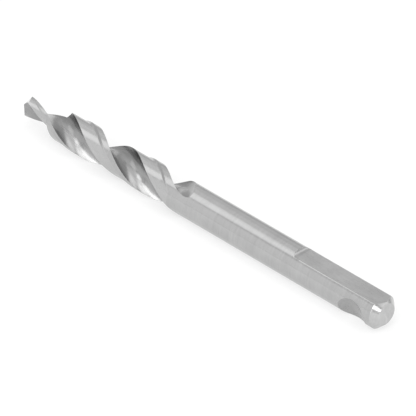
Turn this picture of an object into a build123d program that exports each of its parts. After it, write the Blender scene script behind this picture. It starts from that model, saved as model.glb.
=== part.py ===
from build123d import *
import os
from math import cos, radians, sin, sqrt, tan

# A stepped pilot drill bit for a hole saw arbor, ground from one bar of tool steel.
# It is drawn along its own axis: z = 0 is the shank's end face and the tip lies on -z.
# The last section lays it down, with the shank's end at the origin and the flat on top.
# All sizes are in millimetres and all angles in degrees.

# Bar and lengths, each measured from the shank's end face unless its name says otherwise
bar_diameter = 6.35
body_length = 80.15
nose_length = 6.55
nose_diameter = 3.66
end_chamfer = 1.05

# Flutes: a shallow arc behind each cutting edge runs into a tighter arc that ends at the heel
helix_lead = 31.4
flute_length = 35.9
flute_start_angle = 41.0
flute_count = 2
land_angle = 77.0
web_thickness = 0.86
web_taper = 0.011
rake_radius = 3.6
gullet_radius = 1.55
wheel_radius = 9.0

# Margins: the strip of each land that keeps the full diameter behind its cutting edge. From it a
# slope that leans back by relief_lean goes down to the relieved land over relief_ramp
margin_angle = 15.5
relief_ramp = 11.0
relief_lean = 64.0
land_relief = 0.28
nose_relief = 0.08
relief_end_gap = 5.0
relief_fade = 3.0

# Point: two flat facets behind each lip of the nose, and one helical ramp behind each shoulder lip
lip_angle = 22.5
primary_relief = 12.0
primary_width = 0.45
secondary_relief = 45.0
shoulder_relief = 26.0

# Set screw flat
flat_length = 19.55
flat_depth = 0.75
flat_runout_radius = 0.9

# Retaining notch
notch_centre = 5.35
notch_depth = 1.22
notch_radius = 4.4
notch_angle = 116.0

# How far cutting tools run past the metal they cut, and the turn between two of their sections
overrun = 2.0
twist_step = 18.0

bar_radius = bar_diameter / 2
nose_radius = nose_diameter / 2
shoulder_z = -body_length
tip_z = -(body_length + nose_length)


def angle_at(z):
    """Direction of the first cutting edge at height z; the flutes are right-handed."""
    return flute_start_angle + 360 * (z - shoulder_z) / helix_lead


def polar(radius, angle):
    """Point at a radius and an angle across the axis."""
    return (radius * cos(radians(angle)), radius * sin(radians(angle)))


def helical_cut(section_at, start_z, end_z):
    """Solid swept by a section that turns with the flutes from start_z to end_z."""
    steps = max(3, round(abs(end_z - start_z) * 360 / helix_lead / twist_step))
    sections = []
    for step in range(steps + 1):
        z = start_z + (end_z - start_z) * step / steps
        sections.append(Pos(0, 0, z) * Rot(0, 0, angle_at(z)) * section_at(z))
    return loft(sections)


def circles_meet(centre_a, radius_a, centre_b, radius_b):
    """Point where two circles meet, on the left of the line from centre_a to centre_b."""
    between = centre_b - centre_a
    along = (radius_a**2 - radius_b**2 + between.length**2) / (2 * between.length)
    aside = sqrt(radius_a**2 - along**2)
    forward = between.normalized()
    return centre_a + forward * along + Vector(-forward.Y, forward.X) * aside


def wheel_lift(z):
    """How far the grinding wheel has moved out at height z, from web taper and run-out."""
    depth = bar_radius - web_thickness / 2
    run_out = sqrt(2 * wheel_radius * depth - depth**2)
    travel = max(0, z - (shoulder_z + flute_length - run_out))
    return web_taper * (z - tip_z) + wheel_radius - sqrt(wheel_radius**2 - travel**2)


def flute_section(z):
    """Flute cross-section, with its cutting edge on +x and the flute on the -y side."""
    heel_angle = land_angle - 360 / flute_count
    edge = Vector(bar_radius, 0)
    heel = Vector(*polar(bar_radius - land_relief, heel_angle))
    web_reach = rake_radius + web_thickness / 2
    rake_centre = circles_meet(edge, rake_radius, Vector(0, 0), web_reach)
    gullet_centre = circles_meet(heel, gullet_radius, rake_centre, rake_radius - gullet_radius)
    join = rake_centre + (gullet_centre - rake_centre).normalized() * rake_radius
    rake_middle = rake_centre + ((edge + join) / 2 - rake_centre).normalized() * rake_radius
    gullet_middle = gullet_centre + ((join + heel) / 2 - gullet_centre).normalized() * gullet_radius
    heel_way = (heel - gullet_centre).normalized()
    heel_end = heel + Vector(-heel_way.Y, heel_way.X) * overrun
    edge_end = edge + Vector(overrun, 0)
    back = Vector(*polar(bar_radius + 2 * overrun, heel_angle / 2))
    outline = ThreePointArc(edge, rake_middle, join) + ThreePointArc(join, gullet_middle, heel)
    outline += Line(heel, heel_end) + ThreePointArc(heel_end, back, edge_end) + Line(edge_end, edge)
    return Pos(*polar(wheel_lift(z), heel_angle / 2)) * make_face(outline)


def relief_section(radius, depth):
    """Ring sector behind the margin that takes the rest of the land below full diameter."""
    inner = radius - depth
    outer = radius + overrun
    first_angle = margin_angle + relief_ramp
    last_angle = land_angle + margin_angle
    middle_angle = (first_angle + last_angle) / 2
    floor_start = Vector(*polar(inner, first_angle))
    wall_top = floor_start + Vector(*polar(overrun, first_angle - relief_lean))
    outline = Line(wall_top, floor_start)
    outline += ThreePointArc(floor_start, polar(inner, middle_angle), polar(inner, last_angle))
    outline += Line(polar(inner, last_angle), polar(outer, last_angle))
    outline += ThreePointArc(
        polar(outer, last_angle), polar(outer, middle_angle), polar(outer, first_angle)
    )
    outline += Line(polar(outer, first_angle), wall_top)
    return make_face(outline)


def body_relief_section(z):
    """Relief on the body, which fades out just short of the flutes' end."""
    fade = min(1, (shoulder_z + flute_length - relief_end_gap - z) / relief_fade)
    return relief_section(bar_radius, land_relief * fade)


def nose_relief_section(z):
    """Relief on the nose, the same all along it."""
    return relief_section(nose_radius, nose_relief)


def relieved_body():
    """Shank and body as one round bar, with the shoulder relieved behind each lip."""
    height = body_length + bar_radius * tan(radians(lip_angle))
    bar = Cylinder(bar_radius, height, align=(Align.CENTER, Align.CENTER, Align.MAX))
    return bar - around(shoulder_ramp())


def shoulder_ramp():
    """Helical ramp that falls back steadily behind a shoulder lip, from inside the nose outward."""
    inner = nose_radius / 2
    outer = bar_radius + overrun
    far = shoulder_z - 2 * bar_radius
    drop_per_degree = radians(bar_radius * tan(radians(shoulder_relief)))
    sections = []
    turn = -twist_step
    while turn < land_angle + 2 * twist_step:
        radial = Vector(*polar(1, flute_start_angle + turn))
        height = shoulder_z + turn * drop_per_degree
        inner_z = height - (bar_radius - inner) * tan(radians(lip_angle))
        outer_z = height + (outer - bar_radius) * tan(radians(lip_angle))
        outline = Polyline((inner, inner_z), (outer, outer_z), (outer, far), (inner, far), close=True)
        sections.append(Plane((0, 0, 0), radial, radial.cross(Vector(0, 0, 1))) * make_face(outline))
        turn += twist_step
    return loft(sections)


def pointed_nose():
    """Nose as a round bar, ended by two lips with a primary and a secondary facet each."""
    height = -tip_z + nose_radius * tan(radians(lip_angle))
    block = Box(nose_diameter, nose_diameter, height, align=(Align.CENTER, Align.CENTER, Align.MAX))
    for index in range(flute_count):
        angle = angle_at(tip_z) + index * 360 / flute_count
        outward = Vector(*polar(1, angle))
        trailing = Vector(*polar(1, angle + 90))
        lip = outward * -cos(radians(lip_angle)) - Vector(0, 0, sin(radians(lip_angle)))
        corner = outward * nose_radius + Vector(0, 0, tip_z)
        primary = trailing * cos(radians(primary_relief)) + Vector(0, 0, sin(radians(primary_relief)))
        secondary = trailing * cos(radians(secondary_relief)) + Vector(0, 0, sin(radians(secondary_relief)))
        block = split(block, Plane(corner, lip, lip.cross(primary)), keep=Keep.BOTTOM)
        ridge = corner + primary * primary_width
        block = split(block, Plane(ridge, lip, lip.cross(secondary)), keep=Keep.BOTTOM)
    return block & Cylinder(nose_radius, height, align=(Align.CENTER, Align.CENTER, Align.MAX))


def flat_tool():
    """Cutter for the set screw flat, with the round corner that its run-out shows."""
    floor = bar_radius - flat_depth
    top = bar_radius + overrun
    end = -flat_length - flat_runout_radius
    outline = Line((floor, overrun), (floor, -flat_length))
    outline += RadiusArc((floor, -flat_length), (floor + flat_runout_radius, end), -flat_runout_radius)
    outline += Polyline((floor + flat_runout_radius, end), (top, end), (top, overrun), (floor, overrun))
    face = Plane.XZ * make_face(outline)
    return extrude(face, bar_diameter, both=True)


def notch_tool():
    """Cutter for the retaining notch, a round scallop across the shank."""
    centre = bar_radius - notch_depth + notch_radius
    tool = Rot(90, 0, 0) * Cylinder(notch_radius, 2 * bar_diameter)
    return Rot(0, 0, notch_angle) * Pos(centre, 0, -notch_centre) * tool


def around(tool):
    """One copy of a tool for each flute, spaced evenly about the axis."""
    return [Rot(0, 0, index * 360 / flute_count) * tool for index in range(flute_count)]


# Body and nose, each ground to its point and relieved behind its margins, then made one
body_relief = helical_cut(
    body_relief_section, shoulder_z - overrun, shoulder_z + flute_length - relief_end_gap / 2
)
body = relieved_body() - around(body_relief)
nose_cut = helical_cut(nose_relief_section, tip_z - overrun, shoulder_z + overrun)
nose = pointed_nose() - around(nose_cut)
drill = body + nose

# Chamfer round the shank's end face
end_rim = drill.faces().sort_by(Axis.Z)[-1].edges()
drill = chamfer(end_rim, end_chamfer)

# Flutes, which run out where the grinding wheel leaves the bar
flute = helical_cut(flute_section, tip_z - overrun, shoulder_z + flute_length + overrun / 2)
drill -= around(flute)

# Shank: the flat for the arbor's set screw and the notch for its retaining ball
drill -= flat_tool()
drill -= notch_tool()

# Lay the drill down along x, with its shank's end at the origin and the flat facing up
lying_down = Plane(origin=(0, 0, 0), x_dir=(0, 0, 1), z_dir=(1, 0, 0))
pilot_drill = lying_down * drill
pilot_drill.label = "pilot_drill"

os.makedirs("parts", exist_ok=True)
export_step(pilot_drill, "parts/pilot_drill.step")
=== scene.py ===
from math import acos, atan2, ceil, cos, degrees, pi, radians, sin, sqrt, tan

import bmesh
import bpy
from mathutils import Matrix, Vector


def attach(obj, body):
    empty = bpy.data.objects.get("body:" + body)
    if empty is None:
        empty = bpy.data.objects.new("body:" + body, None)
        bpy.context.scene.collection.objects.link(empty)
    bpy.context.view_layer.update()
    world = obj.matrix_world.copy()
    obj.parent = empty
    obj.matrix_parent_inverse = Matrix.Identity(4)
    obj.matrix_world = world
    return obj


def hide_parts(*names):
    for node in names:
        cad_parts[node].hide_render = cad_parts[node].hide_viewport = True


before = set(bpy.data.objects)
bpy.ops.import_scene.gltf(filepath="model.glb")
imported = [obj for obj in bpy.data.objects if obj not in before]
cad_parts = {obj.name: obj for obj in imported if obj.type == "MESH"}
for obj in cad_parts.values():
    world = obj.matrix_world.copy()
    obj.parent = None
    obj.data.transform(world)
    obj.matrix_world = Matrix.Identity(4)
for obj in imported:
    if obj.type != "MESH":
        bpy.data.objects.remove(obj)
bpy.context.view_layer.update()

# Sizes in millimetres and degrees; those that the drill's source has are the same here. It is drawn
# along z, with the shank's end face at z = 0 and the flat on +x, and is laid down at the end
BAR_RADIUS = 3.175
BODY_LENGTH = 80.15
NOSE_LENGTH = 6.55
NOSE_RADIUS = 1.83
END_CHAMFER = 1.05
SHOULDER_Z = -BODY_LENGTH
TIP_Z = -(BODY_LENGTH + NOSE_LENGTH)

# Flutes
HELIX_LEAD = 31.4
FLUTE_LENGTH = 35.9
FLUTE_START_ANGLE = 41.0
LAND_ANGLE = 77.0
WEB_THICKNESS = 0.86
WEB_TAPER = 0.011
RAKE_RADIUS = 3.6
GULLET_RADIUS = 1.55
WHEEL_RADIUS = 9.0

# Margins behind the cutting edges, and the slope from them down to the relieved land
MARGIN_ANGLE = 15.5
RELIEF_RAMP = 11.0
RELIEF_LEAN = 64.0
LAND_RELIEF = 0.28
NOSE_RELIEF = 0.08
RELIEF_END_GAP = 5.0
RELIEF_FADE = 3.0

# Lips of the nose and of the shoulder. The shoulder's ramp starts a little before its lip
LIP_ANGLE = 22.5
PRIMARY_RELIEF = 12.0
PRIMARY_WIDTH = 0.45
SECONDARY_RELIEF = 45.0
SHOULDER_RELIEF = 26.0
RAMP_START = -18.0
RAMP_STEPS = 45

# Set screw flat, and the narrow strip dressed along each of its long edges, at an angle to the flat
FLAT_LENGTH = 19.55
FLAT_DEPTH = 0.75
FLAT_RUNOUT_RADIUS = 0.9
DRESSED_WIDTH = 0.17
DRESSED_ANGLE = 25.0

# Retaining notch
NOTCH_CENTRE = 5.35
NOTCH_DEPTH = 1.22
NOTCH_RADIUS = 4.4
NOTCH_ANGLE = 116.0

# How far cutters run past the metal, and how far two of them reach each way from their middle
OVERRUN = 2.0
DRESSED_REACH = 0.3
NOTCH_REACH = 8.0

# How finely the drill is drawn
AROUND = 192
RING_GAP = 1.0
TWIST_STEP = 3.0
ARC_STEP = 3.0

# Edges that turn more than this are drawn crisp
CREASE_ANGLE = 30.0

# Gap in metres under which two of the mesh's corners are one
SLIVER = 0.0000005

# Drawing frame in millimetres to the row frame in metres
MM_PER_M = 1000
LAY_DOWN = Matrix((
    (0, 0, 1 / MM_PER_M, 0),
    (0, -1 / MM_PER_M, 0, 0),
    (1 / MM_PER_M, 0, 0, 0),
    (0, 0, 0, 1),
))

# Camera: a long lens from the shank side, above the drill
CAMERA_AZIMUTH = 41.19
CAMERA_ELEVATION = 32.36
CAMERA_ROLL = 5.14
CAMERA_AIM = Vector((-0.042633, 0.000515, 0.000074))
CAMERA_DISTANCE = 0.98887
CAMERA_LENS = 491.8
CAMERA_SENSOR = 36
CAMERA_NEAR = 0.01

# Floor, just under the drill where it lies
FLOOR_Z = -BAR_RADIUS / MM_PER_M
FLOOR_REACH = 1.5
FLOOR_ALBEDO = 0.3
FLOOR_ROUGHNESS = 0.8
FLOOR_GLOW = 0.66

# Light: a pale tent all round, with the softboxes that the photograph's bands and glints call for.
# Each softbox has a name, azimuth, elevation, width, height and power in watts
WORLD_STRENGTH = 0.68
LIGHT_DISTANCE = 0.5
SOFTBOXES = (
    ("overhead", 0, 90, 0.45, 0.45, 0.4),
    ("overhead_right", 120, 76, 0.25, 0.25, 0.14),
    ("front_low", 30, 10, 0.26, 0.2, 0.54),
    ("front_low_left", 0, 9, 0.26, 0.2, 0.1),
    ("front", 15, 31, 0.22, 0.2, 0.38),
    ("front_high", 10, 53, 0.45, 0.2, 0.26),
    ("flute_glint", 30, 53, 0.17, 0.2, 0.14),
    ("left_low", 320, 20, 0.3, 0.35, 0.13),
    ("left_high", 341, 50, 0.12, 0.2, 0.115),
    ("shank_band", 290, 50, 0.26, 0.2, 0.13),
    ("tip_high", 245, 50, 0.22, 0.2, 0.044),
    ("tip_low", 225, 31, 0.22, 0.2, 0.03),
    ("back", 125, 36, 0.7, 0.22, 0.26),
    ("chamfer_glint", 65, 20, 0.09, 0.09, 0.16),
)

# Grinding lines in a metre along x, y and z: round the bar, across a flat, over the end and along
# a flute
ROUND_GRIND = (3500, 150, 150)
CUP_GRIND = (600, 2600, 600)
END_GRIND = (900, 1900, 900)
FLUTE_FLOW = (60, 2500, 2500)

# One finish for each way a surface was ground, in the order of the drill's material slots; the
# flute's tone is set darker by painted shade and the point's lighter by painted light. Each has a
# name, its lines, whether they twist with the flutes, tone and its spread, roughness and its
# spread, and the lines' depth in metres
FINISHES = (
    ("ground", ROUND_GRIND, False, 0.45, 0.045, 0.2, 0.03, 0.0000003),
    ("relief", FLUTE_FLOW, True, 0.48, 0.03, 0.22, 0.03, 0.0000003),
    # Flutes: the steel's tone set darker than the bar's, painted shade for the shade in the flutes'
    # hollows
    ("flute", FLUTE_FLOW, True, 0.33, 0.03, 0.25, 0.03, 0.0000003),
    # Point: the steel's tone set much lighter than the bar's, painted light on the facets of the
    # nose and shoulder
    ("point", CUP_GRIND, False, 0.8, 0.06, 0.25, 0.05, 0.0000004),
    ("flat", CUP_GRIND, False, 0.48, 0.085, 0.3, 0.04, 0.0000004),
    ("notch", CUP_GRIND, False, 0.37, 0.04, 0.3, 0.04, 0.0000004),
    ("end", END_GRIND, False, 0.51, 0.09, 0.22, 0.04, 0.0000004),
)
FINISH_NAMES = [finish[0] for finish in FINISHES]

# Every finish mixes coarse lines with some that are this many times finer, and all lines with soft
# blotches, so many in a metre. The shares are those of the coarse lines and of all lines
FINE_LINES = 4
BLOTCHES = (260, 260, 260)
COARSE_SHARE = 0.6
LINES_SHARE = 0.6

# Values between which nearly all of a noise texture lies
NOISE_LOW = 0.3
NOISE_HIGH = 0.7

# Radius in metres to which every edge is broken, and how many rays look for the edge
EDGE_BREAK = 0.00006
EDGE_SAMPLES = 4


def polar(radius, angle):
    """Point at a radius and an angle across the axis."""
    return Vector((radius * cos(radians(angle)), radius * sin(radians(angle))))


def angle_at(z):
    """Direction of the first cutting edge at height z; the flutes are right-handed."""
    return FLUTE_START_ANGLE + 360 * (z - SHOULDER_Z) / HELIX_LEAD


def at_height(outline, z):
    """An outline's points across the axis, placed at height z."""
    return [(point.x, point.y, z) for point in outline]


def arc_points(centre, radius, start, end):
    """Points along an arc from one angle to another, both ends included."""
    steps = max(2, ceil(abs(end - start) / ARC_STEP))
    return [centre + polar(radius, start + (end - start) * i / steps) for i in range(steps + 1)]


def heading(vector):
    """Angle of a vector across the axis, in degrees."""
    return degrees(atan2(vector.y, vector.x))


def short_arc(centre, start, end):
    """Points along the shorter arc about centre, from start to end."""
    first = heading(start - centre)
    turn = (heading(end - centre) - first + 180) % 360 - 180
    return arc_points(centre, (start - centre).length, first, first + turn)


def circles_meet(centre_a, radius_a, centre_b, radius_b):
    """Point where two circles meet, on the left of the line from centre_a to centre_b."""
    between = centre_b - centre_a
    along = (radius_a**2 - radius_b**2 + between.length**2) / (2 * between.length)
    aside = sqrt(radius_a**2 - along**2)
    forward = between.normalized()
    return centre_a + forward * along + Vector((-forward.y, forward.x)) * aside


def raised(direction, angle):
    """A level direction, tilted up by an angle."""
    return direction * cos(radians(angle)) + Vector((0, 0, sin(radians(angle))))


def object_from(name, shape, finish):
    """Object made from a bmesh, with every face in one finish.

    Every object has all the finishes, so that its faces keep theirs through the cuts.
    """
    bmesh.ops.recalc_face_normals(shape, faces=shape.faces)
    for face in shape.faces:
        face.smooth = True
        face.material_index = FINISH_NAMES.index(finish)
    mesh = bpy.data.meshes.new(name)
    shape.to_mesh(mesh)
    shape.free()
    for finish_name in FINISH_NAMES:
        mesh.materials.append(bpy.data.materials[finish_name])
    made = bpy.data.objects.new(name, mesh)
    bpy.context.collection.objects.link(made)
    return made


def loft(name, outlines, finish):
    """Closed solid through outlines that all have the same number of points."""
    shape = bmesh.new()
    rings = [[shape.verts.new(point) for point in outline] for outline in outlines]
    for low, high in zip(rings, rings[1:]):
        for i, corner in enumerate(low):
            j = (i + 1) % len(low)
            shape.faces.new((corner, low[j], high[j], high[i]))
    shape.faces.new(rings[0])
    shape.faces.new(rings[-1])
    return object_from(name, shape, finish)


def turned(name, profile, finish):
    """Closed solid turned about the axis from (radius, z) pairs, ending flat at both ends."""
    outlines = []
    for radius, z in profile:
        ring = [polar(radius, 360 * i / AROUND) for i in range(AROUND)]
        outlines.append(at_height(ring, z))
    return loft(name, outlines, finish)


def helical(name, outline_at, start_z, end_z, finish):
    """Solid swept by an outline that turns with the flutes from start_z to end_z."""
    steps = ceil(abs(end_z - start_z) * 360 / HELIX_LEAD / TWIST_STEP)
    outlines = []
    for step in range(steps + 1):
        z = start_z + (end_z - start_z) * step / steps
        turn = Matrix.Rotation(radians(angle_at(z)), 2)
        outlines.append(at_height([turn @ point for point in outline_at(z)], z))
    return loft(name, outlines, finish)


def wheel_lift(z):
    """How far the grinding wheel has moved out at height z, from web taper and run-out."""
    depth = BAR_RADIUS - WEB_THICKNESS / 2
    run_out = sqrt(2 * WHEEL_RADIUS * depth - depth**2)
    travel = max(0, z - (SHOULDER_Z + FLUTE_LENGTH - run_out))
    return WEB_TAPER * (z - TIP_Z) + WHEEL_RADIUS - sqrt(WHEEL_RADIUS**2 - travel**2)


def flute_outline(z):
    """Flute cross-section: a shallow rake arc, a tighter gullet arc and a round back."""
    heel_angle = LAND_ANGLE - 180
    axis = Vector((0, 0))
    edge = Vector((BAR_RADIUS, 0))
    heel = polar(BAR_RADIUS - LAND_RELIEF, heel_angle)
    rake_centre = circles_meet(edge, RAKE_RADIUS, axis, RAKE_RADIUS + WEB_THICKNESS / 2)
    gullet_centre = circles_meet(heel, GULLET_RADIUS, rake_centre, RAKE_RADIUS - GULLET_RADIUS)
    join = rake_centre + (gullet_centre - rake_centre).normalized() * RAKE_RADIUS
    rake = short_arc(rake_centre, edge, join)
    gullet = short_arc(gullet_centre, join, heel)
    heel_line = (heel - gullet_centre).normalized()
    heel_end = heel + Vector((-heel_line.y, heel_line.x)) * OVERRUN
    back = arc_points(axis, BAR_RADIUS + 2 * OVERRUN, heading(heel_end), 0)
    outline = rake + gullet[1:] + [heel_end] + back + [edge + Vector((OVERRUN, 0))]
    lift = polar(wheel_lift(z), heel_angle / 2)
    return [point + lift for point in outline]


def relief_outline(radius, depth):
    """Ring sector behind the margin that takes the rest of the land below full diameter."""
    centre = Vector((0, 0))
    first = MARGIN_ANGLE + RELIEF_RAMP
    last = LAND_ANGLE + MARGIN_ANGLE
    inner = arc_points(centre, radius - depth, first, last)
    outer = arc_points(centre, radius + OVERRUN, last, first)
    wall_top = inner[0] + polar(OVERRUN, first - RELIEF_LEAN)
    return inner + outer + [wall_top]


def body_relief_outline(z):
    """Relief on the body, which fades out just short of the flutes' end."""
    fade = min(1, (SHOULDER_Z + FLUTE_LENGTH - RELIEF_END_GAP - z) / RELIEF_FADE)
    return relief_outline(BAR_RADIUS, LAND_RELIEF * fade)


def nose_relief_outline(z):
    """Relief on the nose, the same all along it."""
    return relief_outline(NOSE_RADIUS, NOSE_RELIEF)


def shoulder_ramp():
    """Helical ramp that falls back steadily behind a shoulder lip."""
    inner = NOSE_RADIUS / 2
    outer = BAR_RADIUS + OVERRUN
    far = SHOULDER_Z - 2 * BAR_RADIUS
    drop_per_degree = radians(BAR_RADIUS * tan(radians(SHOULDER_RELIEF)))
    slope = tan(radians(LIP_ANGLE))
    outlines = []
    for step in range(RAMP_STEPS + 1):
        turn = RAMP_START + TWIST_STEP * step
        height = SHOULDER_Z + turn * drop_per_degree
        corners = (
            (inner, height - (BAR_RADIUS - inner) * slope),
            (outer, height + (outer - BAR_RADIUS) * slope),
            (outer, far),
            (inner, far),
        )
        outline = []
        for radius, z in corners:
            point = polar(radius, FLUTE_START_ANGLE + turn)
            outline.append((point.x, point.y, z))
        outlines.append(outline)
    return loft("ramp", outlines, "point")


def grind_facet(shape, place, normal):
    """Cut a shape off at a plane, with the face that this leaves in the point's finish."""
    cut = bmesh.ops.bisect_plane(
        shape,
        geom=shape.verts[:] + shape.edges[:] + shape.faces[:],
        plane_co=place,
        plane_no=normal,
        clear_outer=True,
    )
    rim = [item for item in cut["geom_cut"] if isinstance(item, bmesh.types.BMEdge)]
    filled = bmesh.ops.contextual_create(shape, geom=rim)
    for face in filled["faces"]:
        face.material_index = FINISH_NAMES.index("point")


def pointed_nose():
    """Nose as a round bar, ended by two lips with a primary and a secondary facet each."""
    bottom = TIP_Z - NOSE_RADIUS * tan(radians(LIP_ANGLE))
    profile = [(NOSE_RADIUS, bottom), (NOSE_RADIUS, SHOULDER_Z + 2 * OVERRUN)]
    nose = turned("nose", profile, "ground")
    shape = bmesh.new()
    shape.from_mesh(nose.data)
    for index in range(2):
        angle = angle_at(TIP_Z) + index * 180
        outward = polar(1, angle).to_3d()
        trailing = polar(1, angle + 90).to_3d()
        lip = -raised(outward, LIP_ANGLE)
        corner = outward * NOSE_RADIUS + Vector((0, 0, TIP_Z))
        primary = raised(trailing, PRIMARY_RELIEF)
        secondary = raised(trailing, SECONDARY_RELIEF)
        for place, slope in ((corner, primary), (corner + primary * PRIMARY_WIDTH, secondary)):
            normal = lip.cross(slope)
            if normal.z > 0:
                normal = -normal
            grind_facet(shape, place, normal)
    shape.to_mesh(nose.data)
    shape.free()
    return nose


def flat_tool():
    """Cutter for the set screw flat, with the round corner that its run-out shows."""
    floor = BAR_RADIUS - FLAT_DEPTH
    top = BAR_RADIUS + OVERRUN
    half_width = 2 * BAR_RADIUS
    corner_centre = Vector((floor + FLAT_RUNOUT_RADIUS, -FLAT_LENGTH))
    corner = arc_points(corner_centre, FLAT_RUNOUT_RADIUS, 180, 270)
    outline = [Vector((floor, OVERRUN))] + corner
    outline += [Vector((top, corner[-1].y)), Vector((top, OVERRUN))]
    sides = [[(point.x, y, point.y) for point in outline] for y in (-half_width, half_width)]
    return loft("flat", sides, "flat")


def dressed_edge_tools():
    """Cutters that take a narrow strip off the flat's two long edges."""
    edge_angle = degrees(acos(1 - FLAT_DEPTH / BAR_RADIUS))
    flat_side = 1 / tan(radians(DRESSED_ANGLE))
    round_side = 1 / tan(radians(edge_angle - DRESSED_ANGLE))
    depth = DRESSED_WIDTH / (flat_side + round_side)
    near = BAR_RADIUS * cos(radians(edge_angle - DRESSED_ANGLE)) - depth
    far = near + DRESSED_REACH
    across = BAR_RADIUS * sin(radians(edge_angle - DRESSED_ANGLE))
    corners = (
        (near, -DRESSED_REACH),
        (far, -DRESSED_REACH),
        (far, DRESSED_REACH),
        (near, DRESSED_REACH),
    )
    tools = []
    for side in (-1, 1):
        turn = Matrix.Rotation(radians(side * DRESSED_ANGLE), 2)
        outline = [turn @ Vector((out, side * across + aside)) for out, aside in corners]
        ends = [at_height(outline, z) for z in (FLAT_RUNOUT_RADIUS - FLAT_LENGTH, OVERRUN)]
        tools.append(loft("dressed", ends, "ground"))
    return tools


def notch_tool():
    """Cutter for the retaining notch, a round scallop across the shank."""
    centre = Vector((BAR_RADIUS - NOTCH_DEPTH + NOTCH_RADIUS, -NOTCH_CENTRE))
    turn = Matrix.Rotation(radians(NOTCH_ANGLE), 3, "Z")
    outline = arc_points(centre, NOTCH_RADIUS, 0, 360)[:-1]
    sides = []
    for y in (-NOTCH_REACH, NOTCH_REACH):
        sides.append([turn @ Vector((point.x, y, point.y)) for point in outline])
    return loft("notch", sides, "notch")


def both_sides(tool):
    """A tool and its copy, half a turn round."""
    other = bpy.data.objects.new(tool.name + "_other", tool.data)
    other.matrix_world = Matrix.Rotation(pi, 4, "Z")
    bpy.context.collection.objects.link(other)
    return [tool, other]


def apply_tools(work, tools, operation="DIFFERENCE"):
    """Cut with, or join, each tool in turn, then remove the tools."""
    for tool in tools:
        modifier = work.modifiers.new("cut", "BOOLEAN")
        modifier.operation = operation
        modifier.solver = "EXACT"
        modifier.object = tool
    settled = bpy.data.meshes.new_from_object(
        work.evaluated_get(bpy.context.evaluated_depsgraph_get())
    )
    work.modifiers.clear()
    work.data = settled
    for tool in tools:
        bpy.data.objects.remove(tool)


def bar_profile():
    """Profile of the round bar, from its far end to the chamfered shank end."""
    end = SHOULDER_Z - BAR_RADIUS * tan(radians(LIP_ANGLE))
    rings = ceil(-end / RING_GAP)
    profile = [(BAR_RADIUS, end + (-END_CHAMFER - end) * i / rings) for i in range(rings + 1)]
    return profile + [(BAR_RADIUS - END_CHAMFER, 0)]


def drop_folds(shape):
    """Drop corners on an edge where the faces on both sides would share a thin triangle."""
    while True:
        shape.verts.index_update()
        seen = set()
        folded = set()
        for triangle in shape.calc_loop_triangles():
            corners = frozenset(loop.vert.index for loop in triangle)
            if corners in seen:
                folded |= corners
            seen.add(corners)
        on_edges = [vert for vert in shape.verts if len(vert.link_edges) == 2]
        spare = [vert for vert in on_edges if vert.index in folded]
        if not spare:
            return
        bmesh.ops.dissolve_verts(shape, verts=spare)


def tidy_mesh(mesh):
    """Merge the slivers that cuts leave, and keep edges crisp where cuts meet or turn sharply."""
    shape = bmesh.new()
    shape.from_mesh(mesh)
    bmesh.ops.remove_doubles(shape, verts=shape.verts, dist=SLIVER)
    bmesh.ops.dissolve_degenerate(shape, edges=shape.edges, dist=SLIVER)
    drop_folds(shape)
    for edge in shape.edges:
        faces = edge.link_faces
        edge.smooth = (
            len(faces) == 2
            and faces[0].material_index == faces[1].material_index
            and edge.calc_face_angle(0) < radians(CREASE_ANGLE)
        )
    shape.to_mesh(mesh)
    shape.free()


def add_drill():
    """The visible drill, cut from a round bar by the same tools as the solid."""
    drill = turned("drill", bar_profile(), "ground")
    for face in drill.data.polygons:
        if face.center.z > -END_CHAMFER:
            face.material_index = FINISH_NAMES.index("end")
    flute_end = SHOULDER_Z + FLUTE_LENGTH
    body_start = SHOULDER_Z - OVERRUN
    nose_start = TIP_Z - OVERRUN
    relief_end = flute_end - RELIEF_END_GAP / 2
    apply_tools(drill, both_sides(shoulder_ramp()))
    body_relief = helical("body_relief", body_relief_outline, body_start, relief_end, "relief")
    apply_tools(drill, both_sides(body_relief))
    nose = pointed_nose()
    nose_end = SHOULDER_Z + OVERRUN
    nose_relief = helical("nose_relief", nose_relief_outline, nose_start, nose_end, "relief")
    apply_tools(nose, both_sides(nose_relief))
    apply_tools(drill, [nose], "UNION")
    flute = helical("flute", flute_outline, nose_start, flute_end + OVERRUN / 2, "flute")
    apply_tools(drill, both_sides(flute))
    apply_tools(drill, [flat_tool(), notch_tool()] + dressed_edge_tools())
    drill.data.transform(LAY_DOWN)
    tidy_mesh(drill.data)
    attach(drill, "root")
    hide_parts("pilot_drill")


def aimed_matrix(azimuth, elevation, roll, distance):
    """Place of a camera or light that looks at the drill's middle, with angles in degrees."""
    turn = (
        Matrix.Rotation(radians(azimuth), 4, "Z")
        @ Matrix.Rotation(radians(90 - elevation), 4, "X")
        @ Matrix.Rotation(radians(roll), 4, "Z")
    )
    return Matrix.Translation(CAMERA_AIM + turn.to_3x3().col[2] * distance) @ turn


def add_camera():
    """The camera, at the photograph's viewing angle."""
    data = bpy.data.cameras.new("camera")
    data.lens = CAMERA_LENS
    data.sensor_width = CAMERA_SENSOR
    data.clip_start = CAMERA_NEAR
    camera = bpy.data.objects.new("camera", data)
    camera.matrix_world = aimed_matrix(
        CAMERA_AZIMUTH, CAMERA_ELEVATION, CAMERA_ROLL, CAMERA_DISTANCE
    )
    bpy.context.collection.objects.link(camera)
    bpy.context.scene.camera = camera


def add_softbox(name, azimuth, elevation, width, height, watts):
    """A soft rectangular light that faces the drill's middle."""
    data = bpy.data.lights.new(name, "AREA")
    data.shape = "RECTANGLE"
    data.size = width
    data.size_y = height
    data.energy = watts
    light = bpy.data.objects.new(name, data)
    light.matrix_world = aimed_matrix(azimuth, elevation, 0, LIGHT_DISTANCE)
    light.visible_camera = False
    bpy.context.collection.objects.link(light)


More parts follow.
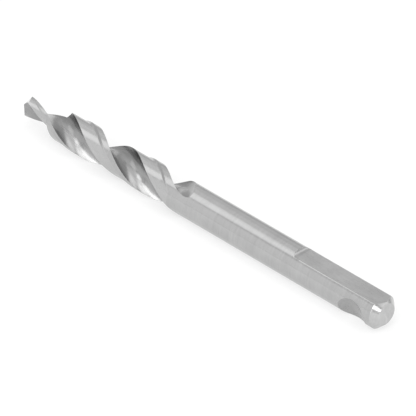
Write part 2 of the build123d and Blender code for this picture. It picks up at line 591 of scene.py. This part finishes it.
def add_world():
    """Even white light from all round, as in a light tent."""
    world = bpy.data.worlds.new("world")
    world.use_nodes = True
    background = world.node_tree.nodes["Background"]
    background.inputs["Color"].default_value = (1, 1, 1, 1)
    background.inputs["Strength"].default_value = WORLD_STRENGTH
    bpy.context.scene.world = world


def add_floor():
    """A plain pale floor, which glows a little to soften shadows."""
    mesh = bpy.data.meshes.new("floor")
    floor = bpy.data.objects.new("floor", mesh)
    shape = bmesh.new()
    bmesh.ops.create_grid(shape, x_segments=1, y_segments=1, size=FLOOR_REACH)
    bmesh.ops.translate(shape, verts=shape.verts, vec=(0, 0, FLOOR_Z))
    shape.to_mesh(mesh)
    shape.free()
    material = bpy.data.materials.new("floor")
    material.use_nodes = True
    shader = material.node_tree.nodes["Principled BSDF"]
    shader.inputs["Base Color"].default_value = (FLOOR_ALBEDO, FLOOR_ALBEDO, FLOOR_ALBEDO, 1)
    shader.inputs["Roughness"].default_value = FLOOR_ROUGHNESS
    shader.inputs["Emission Color"].default_value = (1, 1, 1, 1)
    shader.inputs["Emission Strength"].default_value = FLOOR_GLOW
    mesh.materials.append(material)
    bpy.context.collection.objects.link(floor)


class Nodes:
    """Short calls for building one material's nodes."""

    def __init__(self, name):
        self.material = bpy.data.materials.new(name)
        self.material.use_nodes = True
        self.tree = self.material.node_tree
        self.shader = self.tree.nodes["Principled BSDF"]

    def add(self, kind, **settings):
        """A new node of a kind, with its settings."""
        node = self.tree.nodes.new(kind)
        for name, value in settings.items():
            setattr(node, name, value)
        return node

    def connect(self, value, socket):
        """Feed a socket from another node's output, or set it to a number."""
        if isinstance(value, bpy.types.NodeSocket):
            self.tree.links.new(value, socket)
        else:
            socket.default_value = value

    def math(self, operation, first, second):
        """Result of one sum on two values."""
        node = self.add("ShaderNodeMath", operation=operation)
        self.connect(first, node.inputs[0])
        self.connect(second, node.inputs[1])
        return node.outputs[0]

    def mixed(self, first, second, share):
        """Two values added together, the first with this share of the whole."""
        first_part = self.math("MULTIPLY", first, share)
        second_part = self.math("MULTIPLY", second, 1 - share)
        return self.math("ADD", first_part, second_part)

    def place(self):
        """Place on the drill, in metres."""
        return self.add("ShaderNodeTexCoord").outputs["Object"]

    def stretched(self, vector, scale):
        """A place scaled by a different number along each axis."""
        node = self.add("ShaderNodeVectorMath", operation="MULTIPLY")
        self.connect(vector, node.inputs[0])
        node.inputs[1].default_value = scale
        return node.outputs[0]

    def untwisted(self, vector):
        """A place turned back along the flutes' helix, so it stays the same all along a flute."""
        axis = self.add("ShaderNodeSeparateXYZ")
        self.connect(vector, axis.inputs[0])
        turn = self.math("MULTIPLY", axis.outputs["X"], -2 * pi / (HELIX_LEAD / MM_PER_M))
        node = self.add("ShaderNodeVectorRotate", rotation_type="X_AXIS")
        self.connect(vector, node.inputs["Vector"])
        self.connect(turn, node.inputs["Angle"])
        return node.outputs[0]

    def noise(self, vector, detail, roughness):
        """Noise from 0 to 1 with about one feature for each unit of the vector."""
        node = self.add("ShaderNodeTexNoise")
        self.connect(vector, node.inputs["Vector"])
        node.inputs["Scale"].default_value = 1.0
        node.inputs["Detail"].default_value = detail
        node.inputs["Roughness"].default_value = roughness
        return node.outputs["Fac"]

    def spread(self, value, middle, reach):
        """Noise carried over to a value that reaches equally far both ways from its middle."""
        node = self.add("ShaderNodeMapRange")
        self.connect(value, node.inputs["Value"])
        node.inputs["From Min"].default_value = NOISE_LOW
        node.inputs["From Max"].default_value = NOISE_HIGH
        node.inputs["To Min"].default_value = middle - reach
        node.inputs["To Max"].default_value = middle + reach
        return node.outputs["Result"]

    def grey(self, value):
        """A grey of this value."""
        node = self.add("ShaderNodeCombineColor")
        for socket in node.inputs[:3]:
            self.connect(value, socket)
        return node.outputs[0]

    def bump(self, height, distance):
        """Relief in metres, over edges that are broken by a hair as ground edges are."""
        edge = self.add("ShaderNodeBevel", samples=EDGE_SAMPLES)
        edge.inputs["Radius"].default_value = EDGE_BREAK
        node = self.add("ShaderNodeBump")
        node.inputs["Distance"].default_value = distance
        self.connect(edge.outputs[0], node.inputs["Normal"])
        self.connect(height, node.inputs["Height"])
        self.connect(node.outputs[0], self.shader.inputs["Normal"])


def add_steel(name, line_counts, twisted, tone, tone_reach, roughness, roughness_reach, depth):
    """Ground tool steel: coarse and fine lines left by the wheel, under broad soft blotches."""
    nodes = Nodes(name)
    place = nodes.place()
    along = nodes.untwisted(place) if twisted else place
    fine_counts = [FINE_LINES * count for count in line_counts]
    coarse = nodes.noise(nodes.stretched(along, line_counts), detail=3.0, roughness=0.6)
    fine = nodes.noise(nodes.stretched(along, fine_counts), detail=2.0, roughness=0.6)
    blotches = nodes.noise(nodes.stretched(place, BLOTCHES), detail=3.0, roughness=0.55)
    lines = nodes.mixed(coarse, fine, COARSE_SHARE)
    whole = nodes.mixed(lines, blotches, LINES_SHARE)
    colour = nodes.grey(nodes.spread(whole, tone, tone_reach))
    nodes.connect(colour, nodes.shader.inputs["Base Color"])
    gloss = nodes.spread(lines, roughness, roughness_reach)
    nodes.connect(gloss, nodes.shader.inputs["Roughness"])
    nodes.shader.inputs["Metallic"].default_value = 1.0
    nodes.bump(lines, depth)


add_camera()
add_floor()
add_world()
for softbox in SOFTBOXES:
    add_softbox(*softbox)
bpy.context.scene.view_settings.view_transform = "Standard"
for finish in FINISHES:
    add_steel(*finish)
add_drill()
